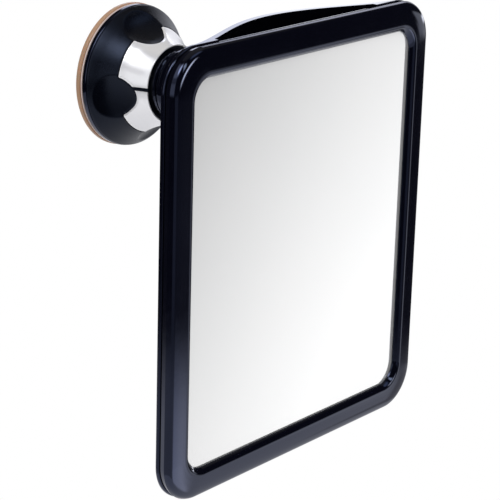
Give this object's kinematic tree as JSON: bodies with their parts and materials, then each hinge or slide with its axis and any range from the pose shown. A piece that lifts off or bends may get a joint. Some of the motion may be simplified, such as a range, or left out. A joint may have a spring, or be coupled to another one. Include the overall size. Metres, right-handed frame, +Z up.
{
  "type": "fogless shower mirror",
  "caption": "Rounded rectangular mirror with a hot-water reservoir behind it, carried by a ball joint on a twist-lock suction mount.",
  "frame": {"origin": "centre of the suction pad's wall face", "axes": "+Y into the wall along the mount's axis, +Z up, +X to the right of someone facing the wall; the mirror looks along -Y"},
  "size_m": [0.1804, 0.1124, 0.2038],
  "materials": {
    "gloss_black": "glossy black moulded plastic",
    "satin_black": "satin black moulded plastic",
    "chrome_plate": "bright chrome plating on plastic",
    "mirrored_acrylic": "mirrored sheet",
    "tan_gel": "tan translucent tacky gel",
    "pale_rubber": "pale soft rubber",
    "black_rubber": "black gasket rubber",
    "white_acetal": "natural white acetal",
    "stainless_steel": "plain stainless steel"
  },
  "bodies": {
    "wall_mount": {"gel_pad": "tan_gel", "cup_diaphragm": "pale_rubber", "base_housing": "gloss_black", "thrust_washer": "white_acetal", "ball_socket": "gloss_black", "nut_liner": "white_acetal", "neck_screw_1": "stainless_steel", "neck_screw_2": "stainless_steel", "neck_screw_3": "stainless_steel"},
    "knob": {"twist_knob": "satin_black", "chrome_collar": "chrome_plate", "cam_ring": "white_acetal"},
    "stem": {"pull_stem": "stainless_steel", "cross_pin": "stainless_steel"},
    "nut": {"lock_nut": "gloss_black"},
    "seat": {"ball_seat": "white_acetal"},
    "ball": {"ball_stud": "gloss_black"},
    "mirror_head": {"front_bezel": "gloss_black", "mirror_sheet": "mirrored_acrylic", "reservoir_gasket": "black_rubber", "rear_shell": "satin_black", "swivel_boss": "gloss_black", "friction_washer": "stainless_steel", "boss_screw_1": "stainless_steel", "boss_screw_2": "stainless_steel", "boss_screw_3": "stainless_steel", "boss_screw_4": "stainless_steel", "shell_screw_1": "stainless_steel", "shell_screw_2": "stainless_steel", "shell_screw_3": "stainless_steel", "shell_screw_4": "stainless_steel", "shell_screw_5": "stainless_steel", "shell_screw_6": "stainless_steel", "shell_screw_7": "stainless_steel", "shell_screw_8": "stainless_steel"}
  },
  "joints": [
    {"name": "knob_twist", "type": "hinge", "parent": "wall_mount", "child": "knob", "pos_m": [0, 0, 0], "axis": [0, 1, 0], "range_deg": [0, 90]},
    {"name": "stem_pull", "type": "slide", "parent": "wall_mount", "child": "stem", "axis": [0, -1, 0], "range_m": [0, 0.0025]},
    {"name": "nut_turn", "type": "hinge", "parent": "wall_mount", "child": "nut", "pos_m": [0, -0.0483, 0], "axis": [0, 1, 0], "range_deg": [-90, 90]},
    {"name": "pan", "type": "hinge", "parent": "wall_mount", "child": "seat", "pos_m": [0, -0.0483, 0], "axis": [0, 0, 1], "range_deg": [-25, 25]},
    {"name": "tilt", "type": "hinge", "parent": "seat", "child": "ball", "pos_m": [0, -0.0483, 0], "axis": [1, 0, 0], "range_deg": [-20, 20]},
    {"name": "roll", "type": "hinge", "parent": "ball", "child": "mirror_head", "pos_m": [0, -0.0483, 0], "axis": [0, 1, 0], "continuous": true}
  ],
  "couplings": [
    {"joint": "stem_pull", "follows": "knob_twist", "m_per_rad": 0.0015915}
  ]
}
